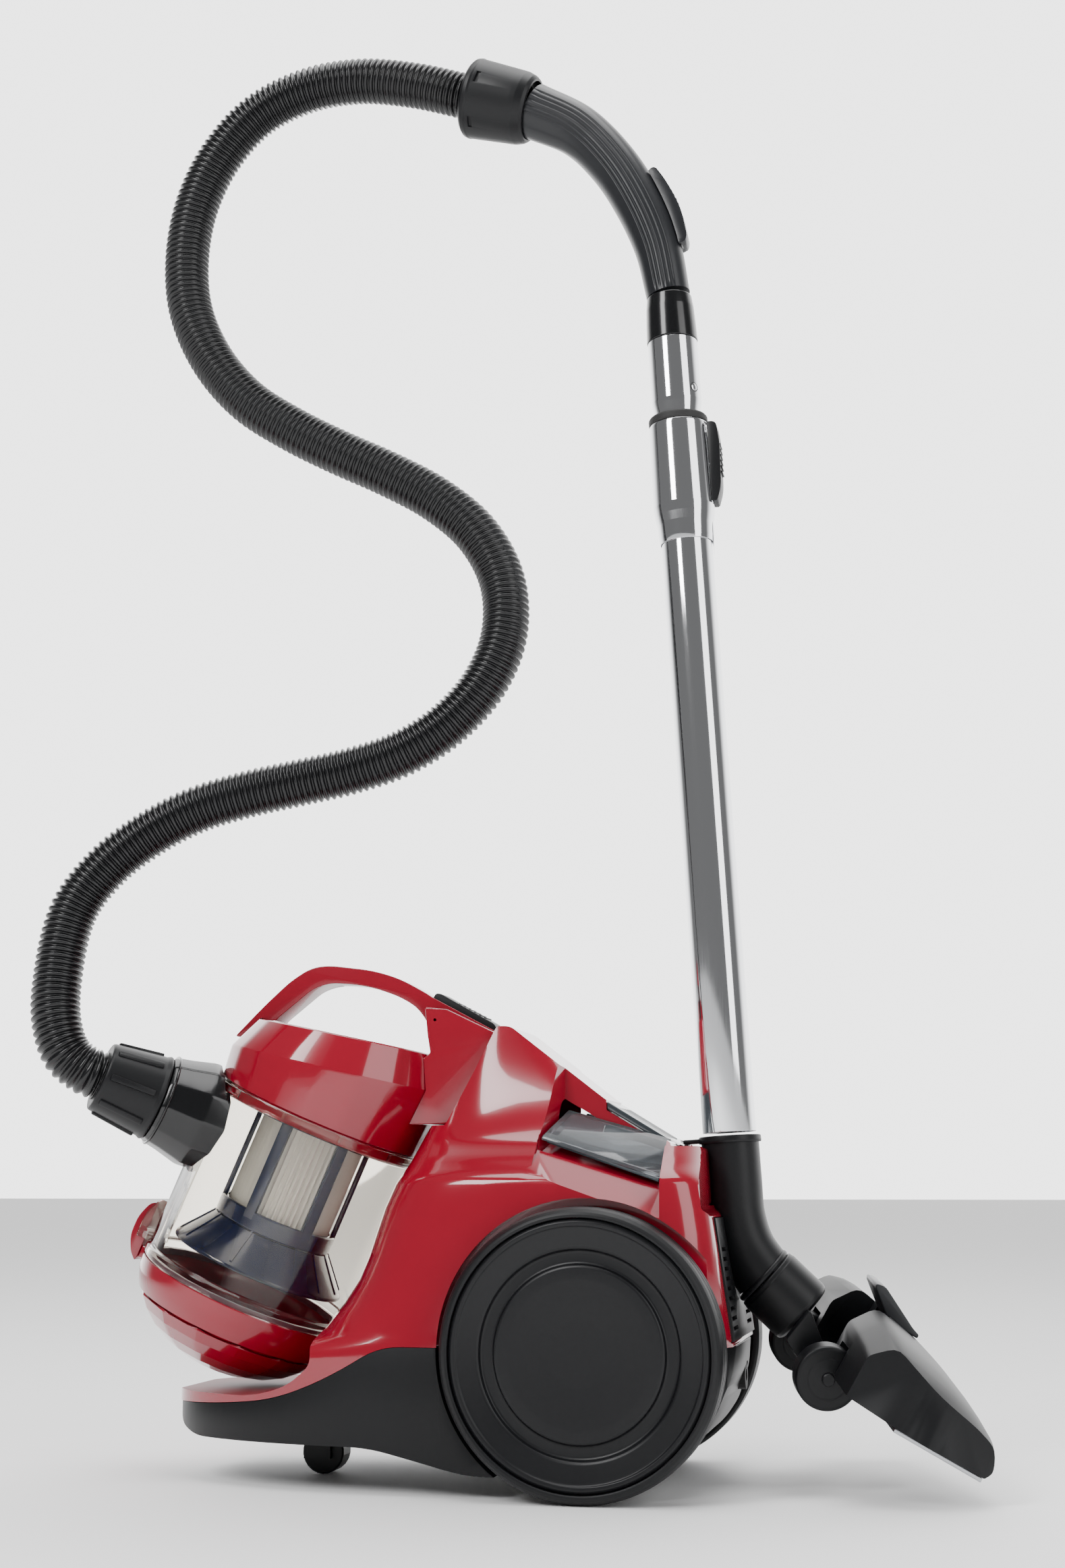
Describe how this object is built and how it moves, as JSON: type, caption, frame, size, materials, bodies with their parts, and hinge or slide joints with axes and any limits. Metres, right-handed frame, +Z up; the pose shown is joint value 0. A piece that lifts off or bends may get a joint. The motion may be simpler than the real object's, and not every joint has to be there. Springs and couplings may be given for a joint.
{
  "type": "canister vacuum cleaner",
  "caption": "Bagless canister vacuum cleaner with a tilted clear dust cup, big side wheels, corrugated hose, curved handle, telescopic tube and floor nozzle parked upright at the back.",
  "frame": {"origin": "floor level under the middle of the outline of the canister with its parked tube, hose left out", "axes": "+Z up, -X towards the front caster and dust cup, +X towards the parked tube and floor nozzle, +Y the right side seen from behind the canister"},
  "size_m": [0.6162, 0.2594, 1.0125],
  "materials": {
    "red_shell": "glossy deep red moulded plastic",
    "black_pan": "fine satin black",
    "gloss_black": "glossy black",
    "grey_panel": "dark grey, glossy",
    "smoky_plastic": "smoky translucent",
    "wheel_plastic": "satin black with turned rings",
    "tyre_rubber": "soft black tread",
    "steel_pin": "ground steel",
    "motor_metal": "plain metal can",
    "seal_rubber": "matte black seal",
    "board": "green board with parts",
    "filter_foam": "open foam",
    "filter_paper": "pleated white filter paper",
    "clear_cup": "clear rigid plastic",
    "blue_plastic": "dark blue translucent plastic",
    "hose_plastic": "ribbed satin black",
    "grey_handle": "charcoal satin",
    "chromed_tube": "polished chrome",
    "sole_metal": "brushed sole plate",
    "brush_fibre": "black bristles"
  },
  "bodies": {
    "canister": {"body_shell": "red_shell", "base_pan": "black_pan", "park_block": "red_shell", "top_panel": "grey_panel", "exhaust_grille": "gloss_black", "axle_left": "steel_pin", "axle_right": "steel_pin", "motor": "motor_metal", "motor_mount": "seal_rubber", "circuit_board": "board", "outlet_seal": "seal_rubber", "inlet_filter": "filter_foam", "exhaust_filter": "filter_foam", "cord_bush": "seal_rubber", "hose": "hose_plastic"},
    "fan": {"motor_fan": "grey_panel"},
    "reel": {"cord_reel": "grey_panel"},
    "left_wheel": {"wheel_left": "wheel_plastic", "tyre_left": "tyre_rubber"},
    "right_wheel": {"wheel_right": "wheel_plastic", "tyre_right": "tyre_rubber"},
    "caster": {"caster_fork": "black_pan"},
    "caster_roller": {"caster_wheel": "tyre_rubber"},
    "power_pedal": {"pedal_left": "smoky_plastic"},
    "rewind_pedal": {"pedal_right": "smoky_plastic"},
    "dust_cup": {"cup_bin": "clear_cup", "cup_lid": "red_shell", "carry_handle": "red_shell", "lid_seal": "seal_rubber", "door_pin": "steel_pin", "inlet_elbow": "gloss_black"},
    "filter": {"filter_cage": "blue_plastic", "filter_pleats": "filter_paper", "filter_skirt": "blue_plastic"},
    "button": {"release_button": "wheel_plastic"},
    "door": {"cup_door": "red_shell", "door_seal": "seal_rubber"},
    "latch": {"door_latch": "red_shell"},
    "collar": {"hose_collar": "black_pan"},
    "lower_wand": {"outer_tube": "chromed_tube", "tube_sleeve": "chromed_tube", "tube_seal": "seal_rubber", "neck_elbow": "black_pan"},
    "upper_wand": {"inner_tube": "chromed_tube", "grip_socket": "gloss_black", "handle_grip": "grey_handle"},
    "cuff": {"hose_cuff": "black_pan"},
    "tube_lock": {"lock_button": "wheel_plastic"},
    "vent": {"vent_slider": "grey_handle"},
    "swivel": {"swivel_neck": "black_pan"},
    "nozzle": {"nozzle_shell": "gloss_black", "sole_plate": "sole_metal"},
    "nozzle_roller_near": {"nozzle_wheel_near": "wheel_plastic"},
    "nozzle_roller_far": {"nozzle_wheel_far": "wheel_plastic"},
    "mode_pedal": {"nozzle_pedal": "grey_handle"},
    "brush": {"brush_strip": "brush_fibre"}
  },
  "joints": [
    {"name": "cup_lift", "type": "slide", "parent": "canister", "child": "dust_cup", "axis": [0, 0, 1], "range_m": [0, 0.24], "deforming": ["hose"]},
    {"name": "wand_lift", "type": "slide", "parent": "canister", "child": "lower_wand", "axis": [-0.0555, 0, 0.9985], "range_m": [0, 0.08], "deforming": ["hose"]},
    {"name": "wand_telescope", "type": "slide", "parent": "lower_wand", "child": "upper_wand", "axis": [-0.0555, 0, 0.9985], "range_m": [0, 0.34], "deforming": ["hose"]},
    {"name": "wheel_left_spin", "type": "hinge", "parent": "canister", "child": "left_wheel", "pos_m": [0.05102, -0.11409, 0.0865], "axis": [0, 1, 0], "continuous": true},
    {"name": "wheel_right_spin", "type": "hinge", "parent": "canister", "child": "right_wheel", "pos_m": [0.05102, 0.09391, 0.0865], "axis": [0, 1, 0], "continuous": true},
    {"name": "caster_swivel", "type": "hinge", "parent": "canister", "child": "caster", "pos_m": [-0.14798, -0.01009, 0.03], "axis": [0, 0, 1], "continuous": true},
    {"name": "caster_spin", "type": "hinge", "parent": "caster", "child": "caster_roller", "pos_m": [-0.13998, -0.01009, 0.014], "axis": [0, 1, 0], "continuous": true},
    {"name": "fan_spin", "type": "hinge", "parent": "canister", "child": "fan", "pos_m": [-0.00898, -0.01009, 0.112], "axis": [1, 0, 0], "continuous": true},
    {"name": "reel_spin", "type": "hinge", "parent": "canister", "child": "reel", "pos_m": [0.03102, -0.01009, 0.035], "axis": [0, 0, 1], "continuous": true},
    {"name": "power_pedal_press", "type": "hinge", "parent": "canister", "child": "power_pedal", "pos_m": [0.02902, -0.04149, 0.2315], "axis": [0.9631, 0, -0.2691], "range_deg": [0, 4], "stiffness_Nm_per_rad": 1, "springref_deg": -3.44},
    {"name": "rewind_pedal_press", "type": "hinge", "parent": "canister", "child": "rewind_pedal", "pos_m": [0.02902, 0.02131, 0.2315], "axis": [-0.9631, 0, 0.2691], "range_deg": [0, 4], "stiffness_Nm_per_rad": 1, "springref_deg": -3.44},
    {"name": "filter_twist", "type": "hinge", "parent": "dust_cup", "child": "filter", "pos_m": [-0.17506, -0.01009, 0.17053], "axis": [0.3986, 0, 0.9171], "range_deg": [0, 30]},
    {"name": "release_press", "type": "slide", "parent": "dust_cup", "child": "button", "axis": [-0.4691, 0, -0.8832], "range_m": [0, 0.003], "stiffness_N_per_m": 400, "springref_m": -0.003},
    {"name": "door_hinge", "type": "hinge", "parent": "dust_cup", "child": "door", "pos_m": [-0.13199, -0.01009, 0.08246], "axis": [0, -1, 0], "range_deg": [0, 80]},
    {"name": "latch_press", "type": "hinge", "parent": "dust_cup", "child": "latch", "pos_m": [-0.26968, -0.01009, 0.15604], "axis": [0, 1, 0], "range_deg": [0, 12], "stiffness_Nm_per_rad": 0.3, "springref_deg": -11.46},
    {"name": "collar_turn", "type": "hinge", "parent": "dust_cup", "child": "collar", "pos_m": [-0.25522, -0.07009, 0.2468], "axis": [-0.7943, -0.5, 0.3452], "continuous": true},
    {"name": "cuff_turn", "type": "hinge", "parent": "upper_wand", "child": "cuff", "pos_m": [-0.04808, -0.01009, 0.9741], "axis": [0.9488, 0, -0.3159], "continuous": true},
    {"name": "lock_press", "type": "slide", "parent": "lower_wand", "child": "tube_lock", "axis": [-0.9985, 0, -0.0555], "range_m": [0, 0.0022], "stiffness_N_per_m": 500, "springref_m": -0.002},
    {"name": "vent_slide", "type": "hinge", "parent": "upper_wand", "child": "vent", "pos_m": [-0.04398, -0.01009, 0.812], "axis": [0, 1, 0], "range_deg": [0, 4]},
    {"name": "neck_swivel", "type": "hinge", "parent": "lower_wand", "child": "swivel", "pos_m": [0.15162, -0.00909, 0.1276], "axis": [0.7152, 0.11, -0.6902], "range_deg": [-11, 20]},
    {"name": "nozzle_tilt", "type": "hinge", "parent": "swivel", "child": "nozzle", "pos_m": [0.18002, -0.00509, 0.078], "axis": [-0.2492, 0.9536, 0.1691], "range_deg": [-12, 12]},
    {"name": "nozzle_wheel_near_spin", "type": "hinge", "parent": "swivel", "child": "nozzle_roller_near", "pos_m": [0.19148, -0.04896, 0.07022], "axis": [-0.2492, 0.9536, 0.1691], "continuous": true},
    {"name": "nozzle_wheel_far_spin", "type": "hinge", "parent": "swivel", "child": "nozzle_roller_far", "pos_m": [0.16856, 0.03877, 0.08578], "axis": [-0.2492, 0.9536, 0.1691], "continuous": true},
    {"name": "mode_pedal_press", "type": "hinge", "parent": "nozzle", "child": "mode_pedal", "pos_m": [0.24232, 0.0083, 0.09426], "axis": [0.2492, -0.9536, -0.1691], "range_deg": [0, 8]},
    {"name": "brush_slide", "type": "slide", "parent": "nozzle", "child": "brush", "axis": [-0.5188, 0.016, -0.8548], "range_m": [0, 0.0032]}
  ],
  "couplings": [
    {"joint": "door_hinge", "follows": "cup_lift", "rad_per_m": 5.8},
    {"joint": "brush_slide", "follows": "mode_pedal_press", "m_per_rad": 0.0215}
  ]
}
